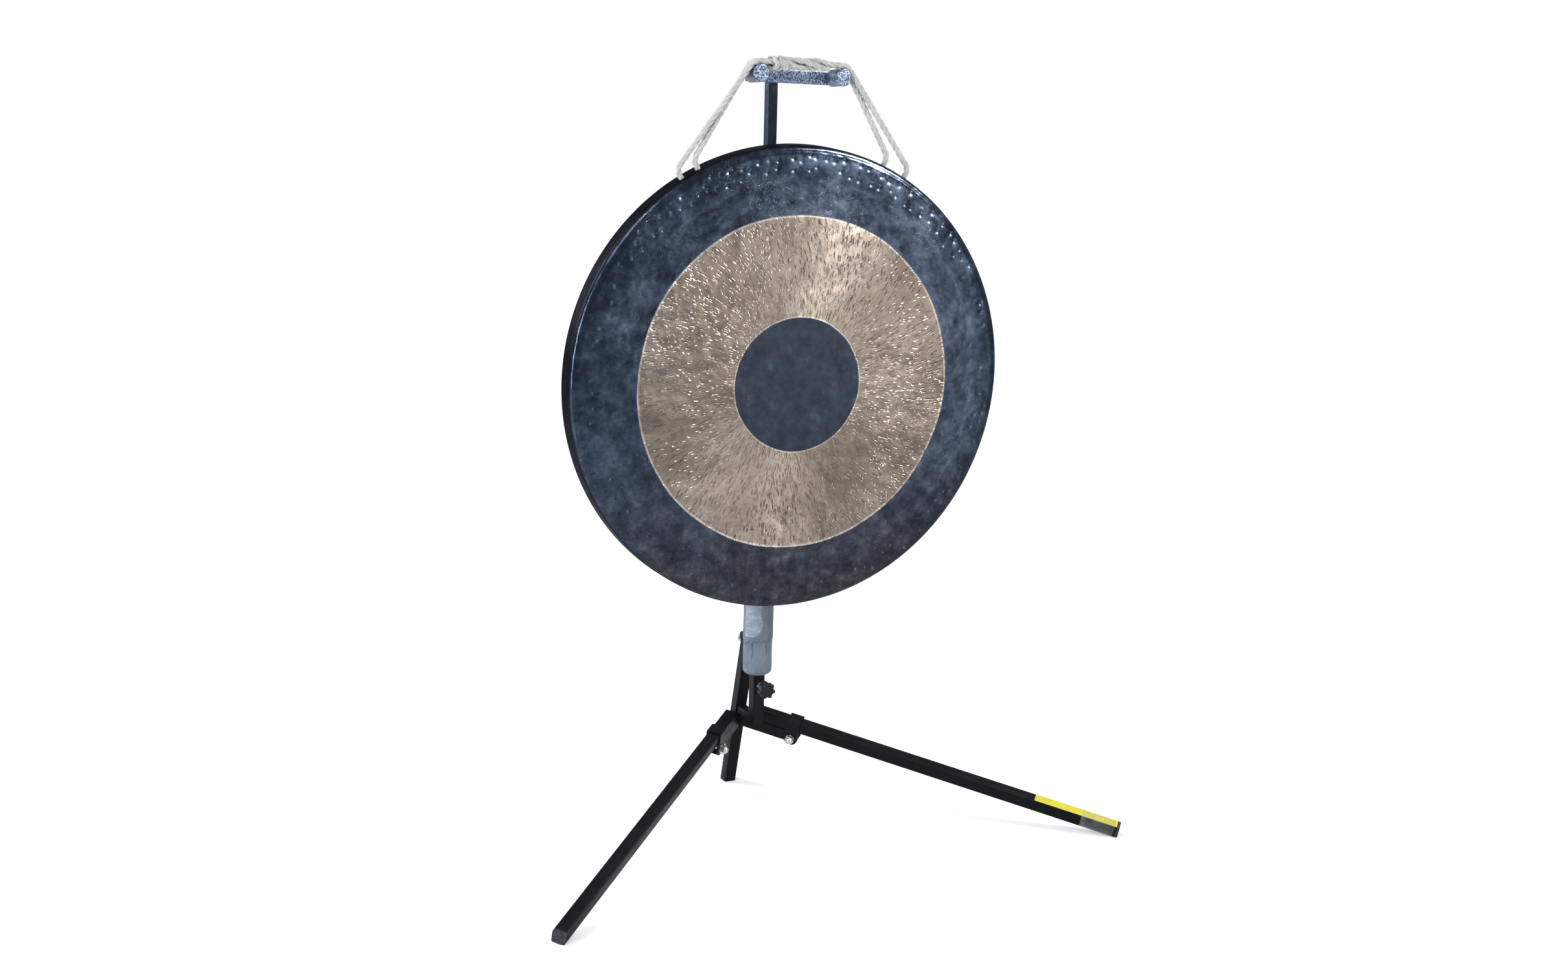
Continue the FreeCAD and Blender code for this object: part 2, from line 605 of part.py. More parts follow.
# ---------------------------------------------------------------- assembly
parts["rear_post"] = [rear_post()]
parts["rear_post_foot"] = [rear_post_foot()]
parts["mast_hinge_bolt"] = [mast_hinge_bolt()]
parts["mast_hinge_nut"] = [mast_hinge_nut()]
pairs = {"arm": right_arm(), "leg_tube": right_leg_tube(), "leg_plug": right_leg_plug(),
         "leg_clevis": right_leg_clevis(), "pivot_bolt": right_pivot_bolt(), "pivot_nut": right_pivot_nut()}
for name, shape in pairs.items():
    parts["right_" + name] = [shape]
    parts["left_" + name] = [mirrored(shape)]
washers = right_pivot_washers()
parts["pivot_washers"] = washers + [mirrored(w) for w in washers]
parts["yellow_tape"] = [yellow_tape()]
parts["clear_tape"] = [clear_tape()]
parts["socket_tube"] = [socket_tube()]
parts["socket_floor"] = [socket_floor()]
parts["mast_hinge_bracket"] = mast_hinge_bracket()
parts["heel_block"] = [heel_block()]
parts["clamp_nut"] = [clamp_nut()]
parts["clamp_stud"] = [clamp_stud()]
parts["clamp_knob"] = [clamp_knob()]
parts["upper_tube"] = [upper_tube()]
parts["mast_top_cap"] = [mast_top_cap()]
parts["top_arm"] = [top_arm()]
parts["crossbar"] = [crossbar()]
parts["crossbar_caps"] = crossbar_caps()
parts["foam_sleeve"] = [foam_sleeve()]
parts["foam_patch"] = [foam_patch()]
for name in ("socket_tube", "socket_floor", "clamp_nut", "clamp_stud", "clamp_knob", "upper_tube",
             "mast_top_cap", "foam_sleeve", "foam_patch"):
    for solid in parts[name]:
        solid.translate(V(0, MAST_Y, 0))
for side, name in ((-1, "left"), (1, "right")):
    parts[name + "_peg"] = [peg(side)]
    parts[name + "_peg_disc"] = [peg_disc(side)]
    parts[name + "_hanging_rope"] = [hanging_rope(side)]
parts["rear_strand"] = [peg_strand(1, NEAR_HOLE)]
parts["front_strand"] = [peg_strand(-1, FAR_HOLE)]
parts["rope_lashing"] = rope_lashing()
parts["gong_disc"] = [hang(gong_disc())]

front = parts["right_leg_plug"][0].BoundBox.YMin
back = parts["rear_post_foot"][0].BoundBox.YMax
shift = V(0, -(front + back) / 2, 0)

os.makedirs("parts", exist_ok=True)
for name, solids in parts.items():
    for solid in solids:
        if not solid.isValid() or solid.ShapeType not in ("Solid", "Compound"):
            print("check", name, solid.ShapeType, solid.isValid())
    shape = solids[0] if len(solids) == 1 else Part.makeCompound(solids)
    moved = shape.copy()
    moved.translate(shift)
    moved.exportStep("parts/%s.step" % name)

print("nodes", len(parts), "shift y %.3f" % shift.y, "crossing z %.3f" % crossing_z)
for name, point in (("leg pivot", pivot), ("mast hinge", hinge), ("knob", V(0, MAST_Y, KNOB_Z)),
                    ("gong swing", V(0, ROPE_Y, SWING_Z))):
    at = point + shift
    print(name, "%.5f %.5f %.5f" % (at.x / 1000, at.y / 1000, at.z / 1000))
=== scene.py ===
import json
import math
import random

import bpy
import bmesh
import numpy as np
from mathutils import Matrix, Vector, noise


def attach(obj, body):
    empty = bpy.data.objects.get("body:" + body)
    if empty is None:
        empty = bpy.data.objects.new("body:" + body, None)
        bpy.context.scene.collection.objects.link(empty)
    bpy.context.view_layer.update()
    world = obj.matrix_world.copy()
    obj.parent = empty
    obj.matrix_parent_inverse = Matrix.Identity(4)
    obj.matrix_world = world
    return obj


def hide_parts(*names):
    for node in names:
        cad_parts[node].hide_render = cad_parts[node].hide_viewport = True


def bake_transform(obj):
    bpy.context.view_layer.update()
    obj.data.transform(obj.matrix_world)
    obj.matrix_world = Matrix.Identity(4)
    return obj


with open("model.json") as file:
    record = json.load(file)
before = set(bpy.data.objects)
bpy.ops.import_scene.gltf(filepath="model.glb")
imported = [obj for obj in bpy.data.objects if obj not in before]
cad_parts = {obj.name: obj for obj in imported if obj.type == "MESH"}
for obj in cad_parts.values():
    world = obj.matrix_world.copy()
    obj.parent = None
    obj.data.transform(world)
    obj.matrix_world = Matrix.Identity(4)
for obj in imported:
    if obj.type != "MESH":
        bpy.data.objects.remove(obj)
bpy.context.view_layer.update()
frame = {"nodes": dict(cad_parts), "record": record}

scene = bpy.context.scene
rng = random.Random(7)
SHIFT = 0.15832          # the middle of the stand's layout, behind the frame's origin
GONG_X = 0.008
GONG_Z = 0.889
GONG_Y = -0.1245 + SHIFT
TILT = math.radians(2.5)
PAN = math.radians(-3.1)
MAST_Y = 0.006 + SHIFT
GONG_SHEET = 0.0021
RING_IN = 0.130          # the bright ring
RING_OUT = 0.3235
RIM_START = 0.4395       # the face turns back into the rim here
RIM_BEND = 0.0108
FOAM_LOW = 0.278
FOAM_HIGH = 1.190
FOAM_R = 0.0296          # the sleeve below its torn edge
SOCKET_BORE = 0.018      # the sleeve's bore round the socket, and then round the mast
SOCKET_TOP = 0.383
MAST_BORE = 0.0136
PATCH_LOW = 0.3600
PATCH_TALL = 0.0720

# ------------------------------------------------------------------ node helpers


class Nodes:
    """Short hand for building one shader tree."""

    def __init__(self, name):
        self.mat = bpy.data.materials.new(name)
        self.mat.use_nodes = True
        self.tree = self.mat.node_tree
        self.bsdf = self.tree.nodes["Principled BSDF"]
        self.coords = self.tree.nodes.new("ShaderNodeTexCoord").outputs["Object"]

    def add(self, kind, inputs=None, out=0, **props):
        node = self.tree.nodes.new("ShaderNode" + kind)
        for key, value in props.items():
            setattr(node, key, value)
        for key, value in (inputs or {}).items():
            self.put(node.inputs[key], value)
        return node.outputs[out]

    def put(self, socket, value):
        if hasattr(value, "is_output"):
            self.tree.links.new(value, socket)
        else:
            socket.default_value = value

    def scaled(self, scale):
        return self.add("Mapping", {"Vector": self.coords, "Scale": scale})

    def noise(self, scale, detail=3.0, rough=0.5, vector=None, **extra):
        inputs = {"Vector": vector or self.coords, "Scale": scale, "Detail": detail, "Roughness": rough}
        inputs.update(extra)
        return self.add("TexNoise", inputs)

    def cells(self, scale):
        inputs = {"Vector": self.coords, "Scale": scale, "Randomness": 1.0}
        return self.add("TexVoronoi", inputs, feature="SMOOTH_F1")

    def ramp(self, value, *stops):
        node = self.tree.nodes.new("ShaderNodeValToRGB")
        self.put(node.inputs[0], value)
        ramp = node.color_ramp
        while len(ramp.elements) < len(stops):
            ramp.elements.new(0.5)
        for element, (at, colour) in zip(ramp.elements, stops):
            element.position = at
            if not isinstance(colour, tuple):
                colour = (colour, colour, colour)
            element.color = colour + (1.0,)
        return node.outputs[0]

    def math(self, operation, a, b=0.0, c=0.0, clamp=False):
        node = self.tree.nodes.new("ShaderNodeMath")
        node.operation = operation
        node.use_clamp = clamp
        for socket, value in zip(node.inputs, (a, b, c)):
            self.put(socket, value)
        return node.outputs[0]

    def mix(self, factor, a, b, kind="MIX"):
        node = self.tree.nodes.new("ShaderNodeMix")
        node.data_type = "RGBA"
        node.blend_type = kind
        self.put(node.inputs[0], factor)
        for socket, value in ((node.inputs[6], a), (node.inputs[7], b)):
            if isinstance(value, tuple) and len(value) == 3:
                value = value + (1.0,)
            self.put(socket, value)
        return node.outputs[2]

    def band(self, value, low, high, soft):
        """1 between low and high, falling to 0 over soft."""
        up = self.add("MapRange", {0: value, 1: low - soft, 2: low + soft, 3: 0.0, 4: 1.0},
                      interpolation_type="SMOOTHSTEP")
        down = self.add("MapRange", {0: value, 1: high - soft, 2: high + soft, 3: 1.0, 4: 0.0},
                        interpolation_type="SMOOTHSTEP")
        return self.math("MULTIPLY", up, down)

    def bump(self, height, strength, distance, normal=None):
        inputs = {"Height": height, "Strength": strength, "Distance": distance}
        if normal is not None:
            inputs["Normal"] = normal
        return self.add("Bump", inputs)

    def finish(self, **sockets):
        for key, value in sockets.items():
            name = key.replace("_", " ")
            if isinstance(value, tuple) and len(value) == 3:
                value = value + (1.0,)
            self.put(self.bsdf.inputs[name], value)
        return self.mat


def grey(nodes, value):
    return nodes.add("CombineColor", {0: value, 1: value, 2: value})


# ------------------------------------------------------------------ materials


def paint_black():
    n = Nodes("satin black paint")
    cloud = n.noise(9.0, 4.0, 0.6)
    base = n.ramp(cloud, (0.3, (0.0022, 0.0023, 0.0034)), (0.7, (0.0046, 0.0048, 0.0072)))
    speck = n.noise(330.0, 2.0, 0.5)
    specks = n.ramp(speck, (0.755, 0.0), (0.785, 1.0))
    worn = n.ramp(n.noise(38.0, 6.0, 0.7), (0.64, 0.0), (0.72, 1.0))
    colour = n.mix(n.math("MULTIPLY", specks, 0.45), base, (0.22, 0.22, 0.24))
    colour = n.mix(n.math("MULTIPLY", worn, 0.3), colour, (0.035, 0.034, 0.036))
    grain = n.noise(420.0, 2.0, 0.5)
    rough = n.ramp(n.noise(24.0, 4.0, 0.6), (0.3, 0.36), (0.7, 0.52))
    return n.finish(Base_Color=colour, Roughness=rough, Normal=n.bump(grain, 0.25, 0.0004),
                    Specular_IOR_Level=0.10)


def paint_hammertone():
    n = Nodes("hammertone paint")
    cells = n.cells(380.0)
    wiggle = n.noise(240.0, 4.0, 0.65)
    height = n.math("ADD", cells, n.math("MULTIPLY", wiggle, 0.9))
    colour = n.ramp(height, (0.60, (0.31, 0.41, 0.60)), (0.84, (0.15, 0.21, 0.35)),
                    (1.0, (0.018, 0.028, 0.060)))
    chips = n.ramp(n.noise(80.0, 5.0, 0.7), (0.69, 0.0), (0.72, 1.0))
    colour = n.mix(n.math("MULTIPLY", chips, 0.5), colour, (0.42, 0.47, 0.55))
    return n.finish(Base_Color=colour, Metallic=0.25, Roughness=0.36,
                    Normal=n.bump(height, 0.55, 0.0010), Coat_Weight=0.3, Coat_Roughness=0.2)


def mast_paint():
    n = Nodes("mast paint")
    cloud = n.noise(60.0, 5.0, 0.65)
    colour = n.ramp(cloud, (0.35, (0.004, 0.007, 0.017)), (0.62, (0.008, 0.014, 0.032)),
                    (0.74, (0.05, 0.065, 0.095)))
    chips = n.ramp(n.noise(150.0, 3.0, 0.6), (0.68, 0.0), (0.71, 1.0))
    colour = n.mix(n.math("MULTIPLY", chips, 0.6), colour, (0.34, 0.38, 0.44))
    return n.finish(Base_Color=colour, Roughness=0.34, Normal=n.bump(cloud, 0.4, 0.0008),
                    Specular_IOR_Level=0.16)


# Darker hammertone: the top arm's coat, and painted shade where the pegs use it.
def dark_paint_and_peg_shade():
    n = Nodes("top arm paint and peg shade")
    cells = n.cells(260.0)
    cloud = n.noise(45.0, 5.0, 0.65)
    height = n.math("ADD", n.math("MULTIPLY", cells, 0.5), n.math("MULTIPLY", cloud, 0.9))
    colour = n.ramp(height, (0.52, (0.15, 0.20, 0.31)), (0.66, (0.040, 0.058, 0.105)),
                    (0.90, (0.006, 0.010, 0.022)))
    return n.finish(Base_Color=colour, Metallic=0.25, Roughness=0.32, Normal=n.bump(height, 0.5, 0.0009),
                    Coat_Weight=0.35, Coat_Roughness=0.18)


def zinc():
    n = Nodes("zinc plate")
    cloud = n.noise(300.0, 4.0, 0.6)
    colour = n.ramp(cloud, (0.3, (0.42, 0.42, 0.41)), (0.7, (0.68, 0.68, 0.66)))
    rough = n.ramp(n.noise(500.0, 3.0, 0.6), (0.3, 0.18), (0.7, 0.38))
    return n.finish(Base_Color=colour, Metallic=1.0, Roughness=rough, Normal=n.bump(cloud, 0.2, 0.0003))


def black_plastic(name, dark, light, rough_low, rough_high):
    n = Nodes(name)
    cloud = n.noise(180.0, 5.0, 0.7)
    colour = n.ramp(cloud, (0.35, dark), (0.75, light))
    rough = n.ramp(n.noise(90.0, 4.0, 0.6), (0.3, rough_low), (0.7, rough_high))
    return n.finish(Base_Color=colour, Roughness=rough, Normal=n.bump(cloud, 0.3, 0.0005),
                    Specular_IOR_Level=0.2)


def foam():
    n = Nodes("grey foam")
    painted_crease_shade = n.add("Attribute", {}, out=2, attribute_name="painted_crease_shade")
    cells = n.noise(700.0, 2.0, 0.6)
    cloud = n.noise(26.0, 5.0, 0.65)
    colour = n.ramp(cloud, (0.3, (0.070, 0.094, 0.128)), (0.7, (0.128, 0.160, 0.205)))
    pale = n.ramp(n.noise(60.0, 6.0, 0.7), (0.58, 0.0), (0.75, 1.0))
    colour = n.mix(n.math("MULTIPLY", pale, 0.35), colour, (0.26, 0.30, 0.35))
    # Painted shade: the foam is darkened along the crack, the fold and just under the torn lip, as the
    # crease attribute gives it.
    colour = n.mix(n.math("MULTIPLY", painted_crease_shade, 0.85), colour, (0.018, 0.022, 0.030))
    height = n.math("ADD", n.math("MULTIPLY", cells, 0.5), n.math("MULTIPLY", cloud, 1.0))
    return n.finish(Base_Color=colour, Roughness=0.6, Normal=n.bump(height, 0.45, 0.0010),
                    Sheen_Weight=0.1)


def foam_skin():
    n = Nodes("torn foam skin")
    wrinkle = n.noise(60.0, 6.0, 0.7, vector=n.scaled((1.0, 1.0, 2.2)))
    colour = n.ramp(wrinkle, (0.3, (0.12, 0.15, 0.20)), (0.6, (0.24, 0.29, 0.36)),
                    (0.75, (0.50, 0.56, 0.62)))
    return n.finish(Base_Color=colour, Roughness=0.28, Normal=n.bump(wrinkle, 0.8, 0.003),
                    Coat_Weight=0.5, Coat_Roughness=0.2)


def cotton():
    n = Nodes("cotton rope")
    tint = n.noise(35.0, 4.0, 0.6)
    colour = n.ramp(tint, (0.3, (0.375, 0.380, 0.360)), (0.7, (0.520, 0.525, 0.500)))
    fibre = n.noise(900.0, 4.0, 0.7)
    dirt = n.ramp(n.noise(14.0, 5.0, 0.7), (0.55, 0.0), (0.75, 1.0))
    colour = n.mix(n.math("MULTIPLY", dirt, 0.30), colour, (0.26, 0.25, 0.22))
    # Painted shade: ambient occlusion darkens the rope's colour in the gaps between strands.
    crevice_shade = n.add("AmbientOcclusion", {"Distance": 0.004})
    colour = n.mix(0.35, colour, n.mix(1.0, colour, crevice_shade, "MULTIPLY"))
    return n.finish(Base_Color=colour, Roughness=0.88, Normal=n.bump(fibre, 0.35, 0.0005), Sheen_Weight=0.2)


def yellow_vinyl():
    n = Nodes("yellow tape")
    cloud = n.noise(45.0, 4.0, 0.6)
    colour = n.ramp(cloud, (0.3, (0.72, 0.62, 0.02)), (0.7, (0.86, 0.78, 0.05)))
    scuff = n.ramp(n.noise(110.0, 6.0, 0.7), (0.62, 0.0), (0.72, 1.0))
    colour = n.mix(n.math("MULTIPLY", scuff, 0.35), colour, (0.80, 0.80, 0.45))
    return n.finish(Base_Color=colour, Roughness=0.3, Normal=n.bump(cloud, 0.5, 0.002),
                    Coat_Weight=0.5, Coat_Roughness=0.12)


def packing_tape():
    n = Nodes("clear tape")
    wrinkle = n.noise(40.0, 6.0, 0.7, vector=n.scaled((2.0, 2.0, 0.8)))
    haze = n.ramp(wrinkle, (0.40, 0.04), (0.6, 0.14), (0.72, 0.60))
    return n.finish(Base_Color=(0.55, 0.56, 0.54), Roughness=0.22, Alpha=haze,
                    Normal=n.bump(wrinkle, 0.9, 0.004), Coat_Weight=0.7, Coat_Roughness=0.08)


def gong_metal():
    """Patina outside, a lathed and scraped bronze ring, and a dark smooth middle."""
    n = Nodes("gong bronze")
    flat = n.add("SeparateXYZ", {0: n.add("TexCoord", out=2)}).node
    x, gz = flat.outputs[0], flat.outputs[1]
    radius = n.math("SQRT", n.math("ADD", n.math("MULTIPLY", x, x), n.math("MULTIPLY", gz, gz)))
    angle = n.math("ARCTAN2", x, gz)
    wob = n.math("MULTIPLY", n.math("SUBTRACT", n.noise(7.0, 3.0, 0.5), 0.5), 0.006)
    radius_w = n.math("ADD", radius, wob)
    ring = n.band(radius_w, RING_IN, RING_OUT, 0.0012)
    disc = n.band(radius_w, -1.0, RING_IN, 0.0012)
    side = n.band(radius, 0.4480, 2.0, 0.0020)

    def turned(across, along, slant, seed):
        """Coordinates that run round the gong and out from its middle."""
        u = n.math("ADD", n.math("MULTIPLY", angle, across), n.math("MULTIPLY", radius, slant))
        return n.add("CombineXYZ", {0: u, 1: n.math("MULTIPLY", radius, along), 2: seed})

    # ---- patina
    cloud = n.noise(7.0, 9.0, 0.66, Distortion=0.35)
    mottle = n.noise(34.0, 7.0, 0.72)
    fine = n.noise(120.0, 5.0, 0.7)
    tone = n.math("ADD", n.math("MULTIPLY", cloud, 0.42), n.math("MULTIPLY", mottle, 0.58))
    patina = n.ramp(tone, (0.34, (0.010, 0.015, 0.027)), (0.47, (0.023, 0.033, 0.055)),
                    (0.56, (0.042, 0.059, 0.092)), (0.70, (0.098, 0.127, 0.178)))
    low = n.add("MapRange", {0: gz, 1: -0.10, 2: -0.46, 3: 0.0, 4: 1.0})
    umber = n.ramp(mottle, (0.38, (0.012, 0.010, 0.010)), (0.55, (0.040, 0.034, 0.030)),
                   (0.7, (0.115, 0.085, 0.060)))
    patina = n.mix(n.math("MULTIPLY", low, 0.62), patina, umber)
    loops = n.noise(19.0, 2.0, 0.5, Distortion=3.2)
    loop = n.ramp(n.math("ABSOLUTE", n.math("SUBTRACT", loops, 0.5)), (0.0, 1.0), (0.007, 0.0))
    high = n.add("MapRange", {0: gz, 1: 0.22, 2: 0.36, 3: 0.10, 4: 1.0})
    patches = n.ramp(n.noise(9.0, 3.0, 0.5), (0.46, 0.0), (0.60, 1.0))
    loop = n.math("MULTIPLY", n.math("MULTIPLY", loop, patches), high)
    patina = n.mix(n.math("MULTIPLY", loop, 0.55), patina, (0.50, 0.56, 0.64))
    patina = n.mix(n.ramp(fine, (0.60, 0.0), (0.76, 0.35)), patina, (0.20, 0.24, 0.31))

    # ---- lathed ring with short slanted scrape marks
    cut_a = n.add("TexVoronoi", {"Vector": turned(58.0, 48.0, 60.0, 0.0), "Scale": 1.0})
    cut_b = n.add("TexVoronoi", {"Vector": turned(44.0, 62.0, -52.0, 3.0), "Scale": 1.0})
    cut_c = n.add("TexVoronoi", {"Vector": turned(95.0, 85.0, 40.0, 9.0), "Scale": 1.0})
    keep = n.ramp(n.noise(6.0, 4.0, 0.6), (0.36, 0.25), (0.60, 1.0))
    marks_dark = n.math("MULTIPLY", n.ramp(cut_a, (0.15, 1.0), (0.34, 0.0)), keep)
    marks_light = n.math("MULTIPLY", n.ramp(cut_b, (0.10, 1.0), (0.27, 0.0)), keep)
    marks_small = n.ramp(cut_c, (0.10, 1.0), (0.25, 0.0))
    streak = n.noise(1.0, 6.0, 0.72, vector=turned(26.0, 26.0, 0.0, 1.0))
    turning = n.noise(1.0, 4.0, 0.7, vector=turned(1.2, 460.0, 0.0, 5.0))
    wash = n.noise(6.5, 5.0, 0.6)
    bronze = n.ramp(wash, (0.30, (0.100, 0.083, 0.070)), (0.50, (0.172, 0.147, 0.127)),
                    (0.72, (0.262, 0.234, 0.207)))
    bronze = n.mix(n.ramp(streak, (0.42, 0.70), (0.60, 0.0)), bronze, (0.105, 0.092, 0.083))
    bronze = n.mix(n.math("MULTIPLY", marks_dark, 0.75), bronze, (0.050, 0.047, 0.048))
    bronze = n.mix(n.math("MULTIPLY", marks_small, 0.40), bronze, (0.080, 0.075, 0.073))
    bronze = n.mix(n.math("MULTIPLY", marks_light, 0.60), bronze, (0.62, 0.58, 0.53))
    outer_edge = n.band(radius_w, 0.3200, 0.3243, 0.0010)
    inner_edge = n.band(radius_w, 0.1292, 0.1325, 0.0010)
    edge = n.math("MAXIMUM", outer_edge, inner_edge)
    bronze = n.mix(n.math("MULTIPLY", edge, 0.40), bronze, (0.44, 0.42, 0.39))

    # ---- middle disc and rim
    mid = n.ramp(n.noise(30.0, 7.0, 0.7), (0.38, (0.010, 0.015, 0.027)), (0.56, (0.018, 0.026, 0.043)),
                 (0.72, (0.036, 0.047, 0.069)))
    rim_side = n.ramp(n.noise(20.0, 6.0, 0.7, vector=n.scaled((1.0, 4.0, 1.0))),
                      (0.3, (0.004, 0.005, 0.008)), (0.7, (0.018, 0.018, 0.022)))

    colour = n.mix(ring, patina, bronze)
    colour = n.mix(disc, colour, mid)
    colour = n.mix(side, colour, rim_side)
    metal = n.math("SUBTRACT", n.math("ADD", n.math("MULTIPLY", ring, 0.12), 0.86),
                   n.math("MULTIPLY", disc, 0.04), clamp=True)
    rough_patina = n.ramp(mottle, (0.35, 0.24), (0.65, 0.40))
    rough_ring = n.ramp(streak, (0.3, 0.30), (0.7, 0.40))
    rough = n.mix(ring, grey(n, rough_patina), grey(n, rough_ring))
    rough = n.mix(disc, rough, (0.46, 0.46, 0.46))
    rough = n.mix(side, rough, (0.42, 0.42, 0.42))
    bend = n.band(radius, 0.4340, 0.4490, 0.0030)
    rough = n.mix(n.math("MULTIPLY", bend, 0.75), rough, (0.13, 0.13, 0.13))

    # ---- the turning grooves spread a highlight outwards from the middle
    centre = n.add("VectorMath", {0: n.coords, 1: (GONG_X, 0.0, GONG_Z)}, operation="SUBTRACT")
    round_way = n.add("VectorMath", {0: centre, 1: (0.0, 1.0, 0.0)}, operation="CROSS_PRODUCT")
    round_way = n.add("VectorTransform", {0: round_way}, vector_type="VECTOR", convert_from="OBJECT",
                      convert_to="WORLD")
    round_way = n.add("VectorMath", {0: round_way}, operation="NORMALIZE")

    swell = n.noise(22.0, 2.0, 0.5)
    first = n.bump(swell, 0.5, 0.006)
    second = n.bump(mottle, 0.25, 0.0016, first)
    cut_height = n.math("MULTIPLY", n.math("ADD", n.math("MAXIMUM", marks_dark, marks_light),
                                           n.math("MULTIPLY", marks_small, 0.5)), ring)
    third = n.bump(n.math("MULTIPLY", cut_height, -1.0), 0.8, 0.0012, second)
    fourth = n.bump(n.math("MULTIPLY", turning, ring), 0.3, 0.0005, third)
    fifth = n.bump(n.math("MULTIPLY", ring, -1.0), 0.6, 0.0008, fourth)
    return n.finish(Base_Color=colour, Metallic=metal, Roughness=rough, Normal=fifth,
                    Specular_Tint=n.mix(side, (1.0, 1.0, 1.0), (0.20, 0.23, 0.32)),
                    Anisotropic=n.math("MULTIPLY", ring, 0.85), Anisotropic_Rotation=0.25,
                    Tangent=round_way)


def floor_material():
    """Pale floor that runs out into the white of the studio away from the stand."""
    n = Nodes("pale floor")
    cloud = n.noise(2.0, 3.0, 0.5)
    colour = n.ramp(cloud, (0.3, (0.90, 0.90, 0.90)), (0.7, (0.93, 0.93, 0.93)))
    flat = n.add("SeparateXYZ", {0: n.coords}).node
    x2 = n.math("MULTIPLY", flat.outputs[0], flat.outputs[0])
    y2 = n.math("MULTIPLY", flat.outputs[1], flat.outputs[1])
    away = n.math("SQRT", n.math("ADD", x2, y2))
    white = n.add("MapRange", {0: away, 1: 0.7, 2: 1.9, 3: 0.30, 4: 1.0}, interpolation_type="SMOOTHSTEP")
    white = n.math("MULTIPLY", white, n.add("LightPath", out=0))
    return n.finish(Base_Color=colour, Roughness=0.7, Specular_IOR_Level=0.1,
                    Normal=n.bump(n.noise(300.0), 0.05, 0.0005),
                    Emission_Color=(1.0, 1.0, 1.0, 1.0), Emission_Strength=white)


black = paint_black()
hammertone = paint_hammertone()
mast_coat = mast_paint()
dark_coat_and_peg_shade = dark_paint_and_peg_shade()
metal = zinc()
plug = black_plastic("black plug", (0.012, 0.012, 0.014), (0.05, 0.05, 0.055), 0.45, 0.7)
knob_black = black_plastic("knob plastic", (0.003, 0.003, 0.004), (0.008, 0.008, 0.010), 0.25, 0.40)
foam_mat = foam()
skin_mat = foam_skin()
rope_mat = cotton()
yellow = yellow_vinyl()
clear = packing_tape()
gong_mat = gong_metal()

by_slot = {"black_paint": black, "hammertone_paint": hammertone, "zinc_steel": metal, "black_plastic": plug,
           "knob_plastic": knob_black, "yellow_tape": yellow, "clear_tape": clear, "grey_foam": foam_mat,
           "foam_skin": skin_mat, "cotton_rope": rope_mat, "gong_bronze": gong_mat}
slot_of = {s["node"]: s["material_slot"] for s in frame["record"]["subparts"]}

# The top arm and the pegs take the darker coat; on the pegs it is painted shade on their sides, while the
# discs keep the bright hammertone.
own = {"upper_tube": mast_coat, "top_arm": dark_coat_and_peg_shade, "left_peg": dark_coat_and_peg_shade, "right_peg": dark_coat_and_peg_shade}

for name, obj in frame["nodes"].items():
    obj.data.materials.clear()
    obj.data.materials.append(own.get(name, by_slot[slot_of[name]]))
    for poly in obj.data.polygons:
        poly.use_smooth = True
    weld = obj.modifiers.new("weld", "WELD")
    weld.merge_threshold = 0.00001
    split = obj.modifiers.new("edges", "EDGE_SPLIT")
    split.split_angle = math.radians(28)

# ------------------------------------------------------------------ mesh helpers


def mesh_object(name, verts, faces, material, smooth=True):
    mesh = bpy.data.meshes.new(name)
    mesh.from_pydata([tuple(v) for v in verts], [], faces)
    mesh.update()
    obj = bpy.data.objects.new(name, mesh)
    scene.collection.objects.link(obj)
    mesh.materials.append(material)
    for poly in mesh.polygons:
        poly.use_smooth = smooth
    return obj


def resample(points, step):
    """Even points along a polyline."""
    points = np.array(points, float)
    seg = np.linalg.norm(np.diff(points, axis=0), axis=1)
    dist = np.concatenate([[0], np.cumsum(seg)])
    count = max(int(dist[-1] / step), 2)
    at = np.linspace(0, dist[-1], count + 1)
    return np.stack([np.interp(at, dist, points[:, i]) for i in range(3)], axis=1), dist[-1]


def arc_path(points, bends):
    """Straight runs joined by tangent arcs."""
    out = [Vector(points[0])]
    for before, here, after, radius in zip(points, points[1:], points[2:], bends):
        before, here, after = Vector(before), Vector(here), Vector(after)
        into = (here - before).normalized()
        onward = (after - here).normalized()
        turn = into.angle(onward)
        trim = radius * math.tan(turn / 2)
        first = here - into * trim
        centre = here + (onward - into).normalized() * (radius / math.cos(turn / 2))
        axis = into.cross(onward).normalized()
        arm = first - centre
        for i in range(13):
            out.append(centre + Matrix.Rotation(turn * i / 12, 3, axis) @ arm)
    out.append(Vector(points[-1]))
    return out


